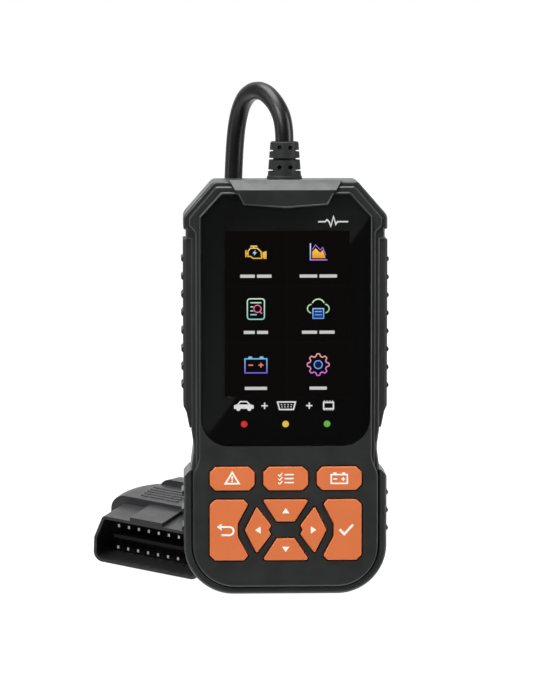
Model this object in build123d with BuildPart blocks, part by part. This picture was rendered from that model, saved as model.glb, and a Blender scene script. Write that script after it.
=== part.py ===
from build123d import *
from math import cos, pi, radians, sin, tan
import os

# Hand-held diagnostic code reader, standing upright on its bottom edge.
# X is across the front, the front faces -Y, Z is up. All sizes are in millimetres.

# Driving dimensions of the case
CASE_TOP = 144.0
CASE_BACK = 13.5  # Y of the rear face
FRONT_LIP = -12.9  # Y of the front plate
STEP_Y = -11.6  # Y of the step around the front plate
SLAB_Y = -10.4  # Y of the outer shoulder
WALL = 2.2
CEILING = -10.2  # Y of the inside of the front wall
FLOOR = CASE_BACK - WALL  # Y of the inside of the rear wall
HALF_CASE = 32.8
HALF_SHOULDER = 35.3
HALF_WAIST = 31.8
HALF_PLATE = 30.0
HALF_KEYPAD = 32.2

# Grips
GRIP_OUT = 35.4
GRIP_Y = 9.6  # half depth of the side grips
NUB_PITCH = 6.3
NUB_RADIUS = 1.0
NUB_DEPTH = 13.0
UPPER_NUBS = 8
LOWER_NUBS = 3

# Display
SCREEN_X = 0.5  # the screen sits slightly to the right
SCREEN_Z = 98.3
SCREEN_W, SCREEN_H = 43.2, 57.6
LENS_FRONT, LENS_BACK = -12.7, -11.4
LCD_W, LCD_H = 50.0, 69.2
LCD_Z = 96.2
GASKET_Y, LCD_FRONT, LCD_REAR = -10.2, -9.8, -7.5
LED_X, LED_Z, LED_RADIUS = 14.4, 59.9, 1.2

# Board and keypad
PCB_FRONT, PCB_BACK = -4.6, -3.0
SHEET_FRONT = -5.6  # front of the keypad's silicone sheet
KEY_FRONT = -13.5
KEY_TRAVEL = 1.0
KEY_GAP = 0.45
KEYPAD_Z = 22.95  # height of the middle of the arrow keys
TOP_KEYS_Z = 41.0
TOP_KEY_X = 18.6
FLANGE_FRONT, FLANGE_BACK = -10.0, -9.0
FLANGE_LIP = 0.8
STEM_END = -6.9
CUP_FRONT = -7.4
ARROW_STEM_RISE = 7.25  # stems of the up and down keys, from the middle of the arrow keys
FRONT_BOSS_SPOTS = [(-24.6, 8.0), (24.6, 8.0), (-26.5, 134.0), (26.5, 134.0)]
PCB_BOSS_SPOTS = [(-16.0, 8.0), (16.0, 8.0), (-24.0, 52.5), (24.0, 52.5), (-18.0, 134.5), (18.0, 134.5)]

# Cable and strain relief
CABLE = 6.4
RELIEF_TOP = 157.4
RELIEF_RADIUS = 5.8
RELIEF_TIP_RADIUS = 4.9
RELIEF_NECK_RADIUS = 4.6  # where the two housings clamp it

# Diagnostic plug, lying behind the case with its nose turned to the front left
PLUG_YAW, PLUG_ROLL, PLUG_RISE = 25.3, 6.5, 8.3
PLUG_MOUTH = (-48.8, 26.6, 2.2)  # middle of the mouth's lower edge
SHELL_WIDE, SHELL_NARROW, SHELL_HIGH = 42.3, 36.0, 17.5
SHELL_WALL = 1.1
SHELL_DEEP = 17.0
INSERT_DEEP = 11.0  # mouth to the insert's face
TONGUE_DEEP = 5.6  # mouth to the edge of the insert's tongue
PIN_DEEP = 5.5  # mouth to the pins' tips
PIN_PITCH, PIN_ROWS = 4.0, 8.2
PIN_WIDE, PIN_HIGH = 0.8, 1.1
OVERMOLD_END = 45.0
HUMP_START, HUMP_HIGH = 38.0, 16.0
TAIL_END = 62.0

# Coil of the spare cable, lying on the floor behind the case
COIL_X, COIL_Y = -5.0, 97.5
COIL_RADIUS = 30.0

os.makedirs("parts", exist_ok=True)


def facing(y):
    """A drawing plane at depth y: local X is across, local Y is up, and it faces the front."""
    return Plane(origin=(0, y, 0), x_dir=(1, 0, 0), z_dir=(0, -1, 0))


def symmetric(right):
    """The closed outline made of the right-hand points and their mirror images."""
    return [(x, z) for x, z, _ in right] + [(-x, z) for x, z, _ in reversed(right)]


def outline(right):
    """A face from right-hand corners (x, z, radius), listed from the bottom up."""
    radii = [r for _, _, r in right] + [r for _, _, r in reversed(right)]
    with BuildLine() as edge:
        FilletPolyline(*symmetric(right), radius=radii, close=True)
    make_face(edge.edges())


CASE_CORNERS = [
    (HALF_CASE, 2.4, 15.0),
    (HALF_CASE, 44.0, 12.0),
    (HALF_WAIST, 51.5, 12.0),
    (HALF_CASE, 58.5, 12.0),
    (HALF_CASE, 123.9, 0.0),
    (34.4, 124.0, 0.0),
    (34.4, 127.4, 0.0),
    (HALF_SHOULDER, 127.5, 0.6),
    (HALF_SHOULDER, 132.2, 3.5),
    (25.0, CASE_TOP, 2.5),
]
PLATE_CORNERS = [
    (HALF_KEYPAD, 2.9, 14.5),
    (HALF_KEYPAD, 42.5, 8.0),
    (HALF_PLATE, 47.5, 8.0),
    (HALF_PLATE, 132.1, 1.5),
    (22.4, 140.5, 1.5),
]
STEP_CORNERS = [
    (31.2, 8.0, 12.0),
    (31.2, 126.5, 1.0),
    (33.4, 128.8, 1.0),
    (33.4, 131.5, 1.5),
    (24.1, 142.4, 1.5),
]
LENS_CORNERS = [
    (29.2, 52.4, 9.6),
    (29.2, 131.8, 1.2),
    (22.0, 139.6, 1.2),
]
CAP_CORNERS = [
    (14.6, 136.1, 0.8),
    (16.5, 139.8, 0.0),
    (19.5, CASE_TOP + 0.6, 0.0),
]
CAP_TIP = 135.0


def cap_outline():
    """The brow's front view: a shallow V below, widening to the top."""
    right = [(x, z) for x, z, _ in CAP_CORNERS]
    left = [(-x, z) for x, z in reversed(right)]
    with BuildLine() as edge:
        Polyline((0, CAP_TIP), *right, *left, close=True)
    make_face(edge.edges())


# ---------------------------------------------------------------- brow over the display
with BuildPart() as top_cap:
    with BuildSketch(Plane.YZ.offset(-20)):
        with BuildLine():
            Polyline(
                (-13.4, 134.0),
                (-13.4, 141.2),
                (-11.4, 143.4),
                (-10.4, CASE_TOP + 0.6),
                (-6.9, CASE_TOP + 0.6),
                (-6.9, 142.2),
                (LENS_BACK, 141.0),
                (LENS_BACK, 134.0),
                close=True,
            )
        make_face()
    extrude(amount=40)
    with BuildSketch(facing(-6)):
        cap_outline()
    extrude(amount=8, mode=Mode.INTERSECT)
    cap_rim = top_cap.edges().filter_by_position(Axis.Y, -13.41, -13.39)
    chamfer(cap_rim.group_by(Axis.Z)[0], 0.35)


def screw_bosses(spots, radius, start, length):
    """Round posts on a plane that faces the front, grown towards it."""
    with BuildSketch(facing(start)) as posts:
        with Locations(*spots):
            Circle(radius)
    extrude(posts.sketch, amount=length)


def drill(spots, radius, start, length):
    """Round holes from a plane that faces the front, cut towards it."""
    with BuildSketch(facing(start)) as holes:
        with Locations(*spots):
            Circle(radius)
    extrude(holes.sketch, amount=length, mode=Mode.SUBTRACT)


# ---------------------------------------------------------------- keys
EXIT_CORNERS = [
    (-24.6, 12.3),
    (-14.6, 12.3),
    (-13.1, 13.9),
    (-16.7, 20.7),
    (-16.7, 25.2),
    (-13.1, 32.0),
    (-14.6, 33.6),
    (-24.6, 33.6),
    (-26.4, 31.8),
    (-26.4, 14.1),
]
LEFT_CORNERS = [
    (-10.1, 14.8),
    (-5.1, 21.4),
    (-5.9, KEYPAD_Z),
    (-5.1, 24.5),
    (-10.1, 31.1),
    (-14.2, KEYPAD_Z),
]
UP_CORNERS = [(-3.1, 25.9), (3.1, 25.9), (8.1, 33.6), (-8.1, 33.6)]


def mirrored(points):
    """The same outline on the other side of the middle."""
    return [(-x, z) for x, z in reversed(points)]


def flipped(points):
    """The same outline turned over about the middle of the arrow keys."""
    return [(x, 2 * KEYPAD_Z - z) for x, z in reversed(points)]


def top_key(middle):
    """One of the three keys of the upper row: a block with cut corners."""
    half_w, half_h, cut, z = 7.75, 4.1, 1.9, TOP_KEYS_Z
    return [
        (middle - half_w + cut, z - half_h),
        (middle + half_w - cut, z - half_h),
        (middle + half_w, z - half_h + cut),
        (middle + half_w, z + half_h - cut),
        (middle + half_w - cut, z + half_h),
        (middle - half_w + cut, z + half_h),
        (middle - half_w, z + half_h - cut),
        (middle - half_w, z - half_h + cut),
    ]


# name: (corners, corner radius, place of the stem)
KEYS = {
    "code_button": (top_key(-TOP_KEY_X), 0.5, (-TOP_KEY_X, TOP_KEYS_Z)),
    "monitor_button": (top_key(0.0), 0.5, (0.0, TOP_KEYS_Z)),
    "battery_button": (top_key(TOP_KEY_X), 0.5, (TOP_KEY_X, TOP_KEYS_Z)),
    "exit_button": (EXIT_CORNERS, 0.6, (-21.6, KEYPAD_Z)),
    "ok_button": (mirrored(EXIT_CORNERS), 0.6, (21.6, KEYPAD_Z)),
    "up_button": (UP_CORNERS, 0.6, (0.0, KEYPAD_Z + ARROW_STEM_RISE)),
    "down_button": (flipped(UP_CORNERS), 0.6, (0.0, KEYPAD_Z - ARROW_STEM_RISE)),
    "left_button": (LEFT_CORNERS, 0.4, (-9.9, KEYPAD_Z)),
    "right_button": (mirrored(LEFT_CORNERS), 0.4, (9.9, KEYPAD_Z)),
}


def key_face(corners, radius, grow):
    """A key's outline, grown outwards."""
    with BuildLine() as edge:
        FilletPolyline(*corners, radius=radius, close=True)
    make_face(edge.edges())
    if grow:
        offset(amount=grow, kind=Kind.INTERSECTION)


def make_key(name, corners, radius, stem):
    """A hard cap with a retaining flange and a stem that presses the silicone sheet."""
    with BuildPart() as key:
        with BuildSketch(facing(FLANGE_FRONT)):
            key_face(corners, radius, 0)
        extrude(amount=FLANGE_FRONT - KEY_FRONT)
        fillet(key.faces().sort_by(Axis.Y)[0].outer_wire().edges(), 0.35)
        with BuildSketch(facing(FLANGE_BACK)):
            key_face(corners, radius, FLANGE_LIP)
        extrude(amount=FLANGE_BACK - FLANGE_FRONT)
        with BuildSketch(facing(STEM_END)):
            with Locations(stem):
                Circle(1.6)
        extrude(amount=STEM_END - FLANGE_BACK)
    key.part.label = name
    export_step(key.part, f"parts/{name}.step")


for key_name, (key_corners, key_radius, key_stem) in KEYS.items():
    make_key(key_name, key_corners, key_radius, key_stem)

# ---------------------------------------------------------------- front housing
with BuildPart() as front_housing:
    with BuildSketch(facing(0)):
        outline(CASE_CORNERS)
    extrude(amount=-SLAB_Y)
    fillet(front_housing.faces().sort_by(Axis.Y)[0].outer_wire().edges(), 0.9)
    with BuildSketch(facing(-8)):
        outline(STEP_CORNERS)
    extrude(amount=-8 - STEP_Y)
    chamfer(front_housing.faces().sort_by(Axis.Y)[0].outer_wire().edges(), 0.5)
    with BuildSketch(facing(-8)):
        outline(PLATE_CORNERS)
    extrude(amount=-8 - FRONT_LIP)
    fillet(front_housing.faces().sort_by(Axis.Y)[0].outer_wire().edges(), 0.7)
    with BuildSketch(facing(0)):
        outline(CASE_CORNERS)
        offset(amount=-WALL, kind=Kind.INTERSECTION)
    extrude(amount=-CEILING, mode=Mode.SUBTRACT)
    # posts for the case screws and the board screws
    screw_bosses(FRONT_BOSS_SPOTS, 2.8, 0, -CEILING)
    screw_bosses(PCB_BOSS_SPOTS, 2.0, PCB_FRONT, PCB_FRONT - CEILING)
    drill(FRONT_BOSS_SPOTS, 1.15, 0, 8.0)
    drill(PCB_BOSS_SPOTS, 0.85, PCB_FRONT, 4.5)
    # seat of the lens and the window behind it
    with BuildSketch(facing(LENS_BACK)):
        outline(LENS_CORNERS)
        offset(amount=0.15, kind=Kind.INTERSECTION)
    extrude(amount=LENS_BACK - FRONT_LIP, mode=Mode.SUBTRACT)
    with BuildSketch(facing(CEILING + 0.1)):
        with Locations((SCREEN_X, SCREEN_Z)):
            Rectangle(SCREEN_W + 1.6, SCREEN_H + 1.6)
        with Locations((-LED_X, LED_Z), (0, LED_Z), (LED_X, LED_Z)):
            Circle(LED_RADIUS + 0.15)
    extrude(amount=CEILING + 0.1 - LENS_BACK, mode=Mode.SUBTRACT)
    # key holes
    with BuildSketch(facing(CEILING + 0.1)):
        for key_corners, key_radius, _ in KEYS.values():
            key_face(key_corners, key_radius, 0)
        offset(amount=KEY_GAP, kind=Kind.INTERSECTION)
    extrude(amount=CEILING + 0.1 - FRONT_LIP, mode=Mode.SUBTRACT)
    add(top_cap.part, mode=Mode.SUBTRACT)
    # half of the round seat of the strain relief
    with BuildSketch(Plane.XY.offset(130)):
        Circle(RELIEF_NECK_RADIUS)
    extrude(amount=20, mode=Mode.SUBTRACT)

# ---------------------------------------------------------------- rear housing
with BuildPart() as rear_housing:
    with BuildSketch(facing(CASE_BACK)):
        outline(CASE_CORNERS)
    extrude(amount=CASE_BACK)
    fillet(rear_housing.faces().sort_by(Axis.Y)[-1].outer_wire().edges(), 2.0)
    with BuildSketch(facing(FLOOR)):
        outline(CASE_CORNERS)
        offset(amount=-WALL, kind=Kind.INTERSECTION)
    extrude(amount=FLOOR, mode=Mode.SUBTRACT)
    screw_bosses(FRONT_BOSS_SPOTS, 2.8, FLOOR, FLOOR)
    drill(FRONT_BOSS_SPOTS, 1.35, CASE_BACK, CASE_BACK)
    drill(FRONT_BOSS_SPOTS, 2.6, CASE_BACK, 3.5)
    # shallow seat of the blank rating plate
    with BuildSketch(facing(CASE_BACK)):
        with Locations((0, 84)):
            RectangleRounded(44.4, 40.4, 2.2)
    extrude(amount=0.4, mode=Mode.SUBTRACT)
    # finger ribs across the back
    with BuildSketch(facing(CASE_BACK)):
        with GridLocations(0, 4.0, 1, 5):
            with Locations((0, 48)):
                SlotOverall(36, 1.6)
    extrude(amount=0.6, mode=Mode.SUBTRACT)
    with BuildSketch(Plane.XY.offset(130)):
        Circle(RELIEF_NECK_RADIUS)
    extrude(amount=20, mode=Mode.SUBTRACT)

# ---------------------------------------------------------------- rubber grips
UPPER_GRIP = [
    (HALF_CASE, 58.5),
    (33.3, 58.5),
    (34.4, 64.0),
    (GRIP_OUT, 66.0),
    (GRIP_OUT, 123.8),
    (HALF_CASE, 123.8),
]


def grip_nubs(side, first_z, count):
    """Rounded ribs across the outer face of a grip."""
    heights = [first_z - i * NUB_PITCH for i in range(count)]
    with BuildSketch(facing(NUB_DEPTH / 2)) as nubs:
        with Locations(*[(side * (GRIP_OUT - 0.3), z) for z in heights]):
            Circle(NUB_RADIUS)
    extrude(nubs.sketch, amount=NUB_DEPTH)


def side_grip(name, side):
    """One of the two long grips beside the display."""
    with BuildPart() as grip:
        with BuildSketch(facing(GRIP_Y)):
            with BuildLine():
                Polyline(*[(side * x, z) for x, z in UPPER_GRIP], close=True)
            make_face()
        extrude(amount=2 * GRIP_Y)
        outer = grip.edges().filter_by(Axis.Z).sort_by(Axis.X)
        chamfer(outer[-2:] if side > 0 else outer[:2], 0.9)
        grip_nubs(side, 116.9, UPPER_NUBS)
    grip.part.label = name
    export_step(grip.part, f"parts/{name}.step")


side_grip("left_grip", -1)
side_grip("right_grip", 1)

with BuildPart() as lower_bumper:
    with BuildSketch(facing(GRIP_Y)):
        outline([(GRIP_OUT - 0.1, 0.0, 17.3), (GRIP_OUT - 0.1, 41.4, 0.0), (33.3, 43.7, 0.0)])
    extrude(amount=2 * GRIP_Y + 1.4)
    front_edges = lower_bumper.faces().sort_by(Axis.Y)[0].outer_wire().edges()
    back_edges = lower_bumper.faces().sort_by(Axis.Y)[-1].outer_wire().edges()
    fillet(front_edges.sort_by(Axis.Z)[:5] + back_edges.sort_by(Axis.Z)[:5], 1.0)
    with BuildSketch(facing(GRIP_Y + 1)):
        outline(CASE_CORNERS)
    extrude(amount=2 * GRIP_Y + 4, mode=Mode.SUBTRACT)
    grip_nubs(-1, 35.1, LOWER_NUBS)
    grip_nubs(1, 35.1, LOWER_NUBS)

# ---------------------------------------------------------------- display
with BuildPart() as display_lens:
    with BuildSketch(facing(LENS_BACK)):
        outline(LENS_CORNERS)
        with BuildSketch(mode=Mode.PRIVATE) as brow_area:
            cap_outline()
            offset(amount=0.12, kind=Kind.INTERSECTION)
        add(brow_area.sketch_local, mode=Mode.SUBTRACT)
    extrude(amount=LENS_BACK - LENS_FRONT)

with BuildPart() as lcd_gasket:
    with BuildSketch(facing(LCD_FRONT)):
        with Locations((SCREEN_X, LCD_Z)):
            Rectangle(LCD_W - 1, LCD_H - 1)
        with Locations((SCREEN_X, SCREEN_Z)):
            Rectangle(SCREEN_W + 2, SCREEN_H + 2, mode=Mode.SUBTRACT)
    extrude(amount=LCD_FRONT - GASKET_Y)

with BuildPart() as lcd_panel:
    with BuildSketch(facing(LCD_REAR)):
        with Locations((SCREEN_X, LCD_Z)):
            Rectangle(LCD_W, LCD_H)
    extrude(amount=LCD_REAR - LCD_FRONT)
    chamfer(lcd_panel.faces().sort_by(Axis.Y)[0].outer_wire().edges(), 0.3)

with BuildPart() as lcd_frame:
    with BuildSketch(facing(PCB_FRONT)):
        with Locations((SCREEN_X, LCD_Z)):
            Rectangle(LCD_W, LCD_H)
            Rectangle(LCD_W - 5, LCD_H - 5, mode=Mode.SUBTRACT)
            Rectangle(3, LCD_H)
    extrude(amount=PCB_FRONT - LCD_REAR)

# ---------------------------------------------------------------- board
with BuildPart() as main_pcb:
    with BuildSketch(facing(PCB_BACK)):
        outline([(20.0, 6.0, 1.0), (28.4, 15.0, 1.0), (28.4, 129.0, 1.0), (20.5, 137.0, 1.0)])
        with Locations(*FRONT_BOSS_SPOTS):
            Circle(3.2, mode=Mode.SUBTRACT)
        with Locations(*PCB_BOSS_SPOTS):
            Circle(1.1, mode=Mode.SUBTRACT)
    extrude(amount=PCB_BACK - PCB_FRONT)


def board_blocks(name, spots, width, height, thick, edge=0.15):
    """Rectangular components on the back of the board, as one group."""
    with BuildPart() as blocks:
        with BuildSketch(facing(PCB_BACK + thick)):
            with Locations(*spots):
                Rectangle(width, height)
        extrude(amount=thick)
        chamfer(blocks.faces().filter_by(Axis.Y).group_by(Axis.Y)[-1].edges(), edge)
    blocks.part.label = name
    export_step(blocks.part, f"parts/{name}.step")


board_blocks("processor_chip", [(0, 82)], 14.0, 14.0, 1.4)
board_blocks("memory_chip", [(15, 84)], 5.3, 8.2, 1.6)
board_blocks("transceiver_chips", [(-14, 104), (-4, 104), (6, 104)], 5.0, 6.2, 1.5)
board_blocks("power_inductor", [(16, 104)], 7.0, 7.0, 3.5, 0.6)
board_blocks("crystal", [(-14, 82)], 4.5, 11.0, 3.2, 0.5)

with BuildPart() as capacitors:
    with BuildSketch(facing(PCB_BACK)):
        with GridLocations(10, 0, 3, 1):
            with Locations((-10, 118)):
                Circle(2.5)
    extrude(amount=-7.0)
    chamfer(capacitors.faces().sort_by(Axis.Y)[-3:].edges(), 0.4)

with BuildPart() as buzzer:
    with BuildSketch(facing(PCB_BACK)):
        with Locations((-14, 58)):
            Circle(6.0)
    extrude(amount=-7.5)
    chamfer(buzzer.faces().sort_by(Axis.Y)[-1].edges(), 0.5)
    with BuildSketch(facing(PCB_BACK + 7.5)):
        with Locations((-14, 58)):
            Circle(1.1)
    extrude(amount=1.5, mode=Mode.SUBTRACT)

# socket on the board, and the plug of the inner leads in it
HEADER_X, HEADER_Z = 11.0, 124.0
with BuildPart() as cable_header:
    with BuildSketch(facing(PCB_BACK + 6.0)):
        with Locations((HEADER_X, HEADER_Z)):
            Rectangle(13.0, 6.0)
    extrude(amount=6.0)
    with BuildSketch(facing(PCB_BACK + 6.0)):
        with Locations((HEADER_X, HEADER_Z)):
            Rectangle(11.4, 4.4)
    extrude(amount=4.6, mode=Mode.SUBTRACT)

with BuildPart() as header_plug:
    with BuildSketch(facing(PCB_BACK + 7.6)):
        with Locations((HEADER_X, HEADER_Z)):
            Rectangle(11.4, 4.4)
    extrude(amount=6.2)

LEAD_RADIUS = 0.55
LEAD_START = 139.0
with BuildPart() as inner_leads:
    for i in range(4):
        lead_x = 6.8 + 2.8 * i
        with BuildLine() as lead_line:
            FilletPolyline(
                (-2.4 + 1.6 * i, 0.0, LEAD_START),
                (-2.4 + 1.6 * i, 0.0, LEAD_START - 4.0),
                (lead_x, 7.6, 133.0),
                (lead_x, 7.6, HEADER_Z - 0.2),
                (lead_x, PCB_BACK + 7.6, HEADER_Z - 0.2),
                radius=0.9,
            )
        with BuildSketch(Plane(origin=lead_line.line @ 0, z_dir=lead_line.line % 0)):
            Circle(LEAD_RADIUS)
        sweep(path=lead_line.line)

# ---------------------------------------------------------------- silicone keypad
with BuildPart() as keypad_membrane:
    with BuildSketch(facing(PCB_FRONT)):
        outline([(18.0, 10.9, 1.0), (27.2, 15.0, 1.0), (27.2, 46.5, 1.0)])
    extrude(amount=PCB_FRONT - SHEET_FRONT)
    with BuildSketch(facing(SHEET_FRONT)) as cups:
        with Locations(*[stem for _, _, stem in KEYS.values()]):
            Circle(3.0)
            Circle(2.2, mode=Mode.SUBTRACT)
    extrude(amount=SHEET_FRONT - CUP_FRONT)

# ---------------------------------------------------------------- indicator lamps
for lamp_name, lamp_x in (("red_led", -LED_X), ("yellow_led", 0.0), ("green_led", LED_X)):
    with BuildPart() as lamp:
        with BuildSketch(facing(PCB_FRONT)):
            with Locations((lamp_x, LED_Z)):
                Circle(LED_RADIUS + 0.3)
        extrude(amount=1.0)
        with BuildSketch(facing(PCB_FRONT)):
            with Locations((lamp_x, LED_Z)):
                Circle(LED_RADIUS)
        extrude(amount=PCB_FRONT - LENS_BACK - 0.1)
        fillet(lamp.faces().sort_by(Axis.Y)[0].edges(), 0.6)
    lamp.part.label = lamp_name
    export_step(lamp.part, f"parts/{lamp_name}.step")

# ---------------------------------------------------------------- screws
with BuildPart() as housing_screws:
    screw_bosses(FRONT_BOSS_SPOTS, 2.4, CASE_BACK - 1.3, 2.2)
    screw_bosses(FRONT_BOSS_SPOTS, 1.15, CASE_BACK - 3.5, 16.0)
    with BuildSketch(facing(CASE_BACK - 1.3)) as cross_slots:
        with Locations(*FRONT_BOSS_SPOTS):
            Rectangle(2.6, 0.6)
            Rectangle(0.6, 2.6)
    extrude(cross_slots.sketch, amount=1.1, mode=Mode.SUBTRACT)

with BuildPart() as pcb_screws:
    screw_bosses(PCB_BOSS_SPOTS, 1.8, PCB_BACK + 1.3, 1.3)
    screw_bosses(PCB_BOSS_SPOTS, 0.85, PCB_BACK, 5.5)
    with BuildSketch(facing(PCB_BACK + 1.3)) as board_slots:
        with Locations(*PCB_BOSS_SPOTS):
            Rectangle(2.0, 0.5)
            Rectangle(0.5, 2.0)
    extrude(board_slots.sketch, amount=0.7, mode=Mode.SUBTRACT)

with BuildPart() as rating_plate:
    with BuildSketch(facing(CASE_BACK)):
        with Locations((0, 84)):
            RectangleRounded(44.0, 40.0, 2.0)
    extrude(amount=0.4)

# ---------------------------------------------------------------- strain relief
RELIEF_FOOT = CASE_TOP
GROOVES = [(147.4, 0.6), (151.4, 0.7), (154.2, 0.6)]  # height and width
GROOVE_FLOOR = 3.95  # radius at the bottom of the grooves
DIMPLE_X, DIMPLE_RADIUS, DIMPLE_RISE, DIMPLE_REACH = 1.9, 0.75, 1.2, 3.2
with BuildPart() as strain_relief:
    with BuildSketch(Plane.XZ):
        with BuildLine():
            Polyline(
                (0, LEAD_START),
                (RELIEF_NECK_RADIUS, LEAD_START),
                (RELIEF_NECK_RADIUS, RELIEF_FOOT),
                (RELIEF_RADIUS + 0.4, RELIEF_FOOT),
                (RELIEF_RADIUS + 0.3, RELIEF_FOOT + 1.2),
                (RELIEF_RADIUS, RELIEF_FOOT + 1.7),
                (RELIEF_TIP_RADIUS, RELIEF_TOP),
                (0, RELIEF_TOP),
                close=True,
            )
        make_face()
    revolve(axis=Axis.Z)
    chamfer(strain_relief.faces().sort_by(Axis.Z)[-1].edges(), 0.4)
    # the middle groove runs all round
    groove_z, groove_h = GROOVES[1]
    with BuildSketch(Plane.XY.offset(groove_z - groove_h / 2)):
        Circle(RELIEF_RADIUS + 1)
        Circle(GROOVE_FLOOR, mode=Mode.SUBTRACT)
    extrude(amount=groove_h, mode=Mode.SUBTRACT)
    # the other two are slots at the sides
    for groove_z, groove_h in (GROOVES[0], GROOVES[2]):
        with BuildSketch(Plane.XY.offset(groove_z - groove_h / 2)):
            Circle(RELIEF_RADIUS + 1)
            Circle(GROOVE_FLOOR, mode=Mode.SUBTRACT)
            Rectangle(7.4, 20, mode=Mode.SUBTRACT)
        extrude(amount=groove_h, mode=Mode.SUBTRACT)
        # with a pair of dimples between them, at the front and at the back
        for side in (-1, 1):
            with BuildSketch(facing(side * (RELIEF_RADIUS + 1))):
                with Locations((-DIMPLE_X, groove_z + DIMPLE_RISE), (DIMPLE_X, groove_z + DIMPLE_RISE)):
                    Circle(DIMPLE_RADIUS)
            extrude(amount=side * DIMPLE_REACH, mode=Mode.SUBTRACT)

# ---------------------------------------------------------------- diagnostic plug
yaw, roll, rise = radians(PLUG_YAW), radians(PLUG_ROLL), radians(PLUG_RISE)
PLUG_ACROSS = Vector(cos(yaw) * cos(roll), -sin(yaw) * cos(roll), -sin(roll))
PLUG_BACK = Vector(sin(yaw), cos(yaw), tan(rise))
PLUG_BACK = (PLUG_BACK - PLUG_ACROSS * PLUG_BACK.dot(PLUG_ACROSS)).normalized()
AXIS_UP = SHELL_HIGH / 2


def plug_plane(depth):
    """A drawing plane across the plug, the given depth behind its mouth."""
    origin = Vector(*PLUG_MOUTH) + PLUG_BACK * depth
    return Plane(origin=origin, x_dir=PLUG_ACROSS, z_dir=-PLUG_BACK)


def shell_face(grow):
    """The connector's section: wide below with large corners, narrower on top."""
    wide, narrow = SHELL_WIDE / 2, SHELL_NARROW / 2
    right = [(wide, 0.0, 3.6), (wide, 9.0, 3.0), (narrow, SHELL_HIGH, 1.4)]
    with BuildSketch() as section:
        outline(right)
        if grow:
            offset(amount=grow, kind=Kind.INTERSECTION)
    return section


RIB_X, RIB_HALF, RIB_HIGH = -0.7, 6.4, 1.4
SHELL_BACK = 2.0  # thickness of the shell behind its insert
with BuildPart() as plug_shell:
    with BuildSketch(plug_plane(SHELL_DEEP)):
        add(shell_face(0).sketch_local)
    extrude(amount=SHELL_DEEP)
    with BuildSketch(plug_plane(SHELL_DEEP)):
        with Locations((RIB_X, SHELL_HIGH)):
            Rectangle(2 * RIB_HALF, 2 * RIB_HIGH)
    extrude(amount=SHELL_DEEP)
    with BuildSketch(plug_plane(SHELL_DEEP - SHELL_BACK)):
        add(shell_face(-SHELL_WALL).sketch_local)
    extrude(amount=SHELL_DEEP - SHELL_BACK, mode=Mode.SUBTRACT)

with BuildPart() as plug_insert:
    with BuildSketch(plug_plane(SHELL_DEEP - SHELL_BACK)):
        add(shell_face(-SHELL_WALL).sketch_local)
    extrude(amount=SHELL_DEEP - SHELL_BACK - INSERT_DEEP)
    with BuildSketch(plug_plane(INSERT_DEEP)):
        with Locations((0, AXIS_UP)):
            Rectangle(32.0, 1.3)
    extrude(amount=INSERT_DEEP - TONGUE_DEEP)
    with BuildSketch(plug_plane(INSERT_DEEP)):
        with Locations((0, AXIS_UP)):
            with GridLocations(PIN_PITCH, PIN_ROWS, 8, 2):
                Rectangle(PIN_WIDE, PIN_HIGH)
    extrude(amount=-(SHELL_DEEP - SHELL_BACK - INSERT_DEEP), mode=Mode.SUBTRACT)

with BuildPart() as plug_pins:
    with BuildSketch(plug_plane(SHELL_DEEP - SHELL_BACK)):
        with Locations((0, AXIS_UP)):
            with GridLocations(PIN_PITCH, PIN_ROWS, 8, 2):
                Rectangle(PIN_WIDE, PIN_HIGH)
    extrude(amount=SHELL_DEEP - SHELL_BACK - PIN_DEEP)

with BuildPart() as plug_overmold:
    for depth, width, low, high, corner in (
        (SHELL_DEEP, 46.0, -2.2, 20.2, 5.5),
        (30.0, 45.0, -1.8, 20.1, 6.0),
        (OVERMOLD_END, 30.0, 0.4, 18.6, 6.0),
    ):
        with BuildSketch(plug_plane(depth)):
            with Locations((0, (low + high) / 2)):
                RectangleRounded(width, high - low, corner)
    loft()
    # a raised grip at the rear
    for depth, width, high in ((HUMP_START, 27.0, 21.8), (OVERMOLD_END, 24.0, 21.2)):
        with BuildSketch(plug_plane(depth)):
            with Locations((0, high - HUMP_HIGH / 2)):
                RectangleRounded(width, HUMP_HIGH, 4.0)
    loft()

with BuildPart() as plug_strain_relief:
    with BuildSketch(plug_plane(OVERMOLD_END)):
        with Locations((0, AXIS_UP + 0.4)):
            Circle(6.6)
    with BuildSketch(plug_plane(TAIL_END)):
        with Locations((0, AXIS_UP + 0.4)):
            Circle(4.3)
    loft()

# ---------------------------------------------------------------- cable
TAIL_START = Vector(*PLUG_MOUTH) + PLUG_BACK * TAIL_END + Vector(
    plug_plane(0).y_dir * (AXIS_UP + 0.4)
)
CABLE_HALF = CABLE / 2
LEAD_ROUTE = [
    (0.0, 0.0, RELIEF_TOP),
    (0.0, 0.0, 163.9),
    (-2.9, 3.6, 170.9),
    (-7.8, 10.4, 175.4),
    (-13.0, 17.2, 173.2),
    (-15.9, 21.8, 164.8),
    (-17.1, 24.3, 149.5),
    (-17.8, 25.0, 119.0),
    (-17.0, 24.8, 88.0),
    (-15.4, 24.4, 60.0),
    (-12.4, 25.0, 36.0),
    (-6.5, 28.5, 16.0),
    (3.0, 38.0, 6.0),
    (13.0, 52.0, 3.8),
    (22.5, 70.0, 3.7),
    (26.6, 84.0, 3.6),
]
TAIL_ROUTE = [
    tuple(TAIL_START),
    tuple(TAIL_START + PLUG_BACK * 12.0),
    (-11.6, 102.6, 22.8),
    (-5.2, 113.6, 19.6),
    (6.0, 120.0, 14.2),
    (17.2, 115.0, 8.6),
    (22.2, 101.5, 4.6),
]


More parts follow.
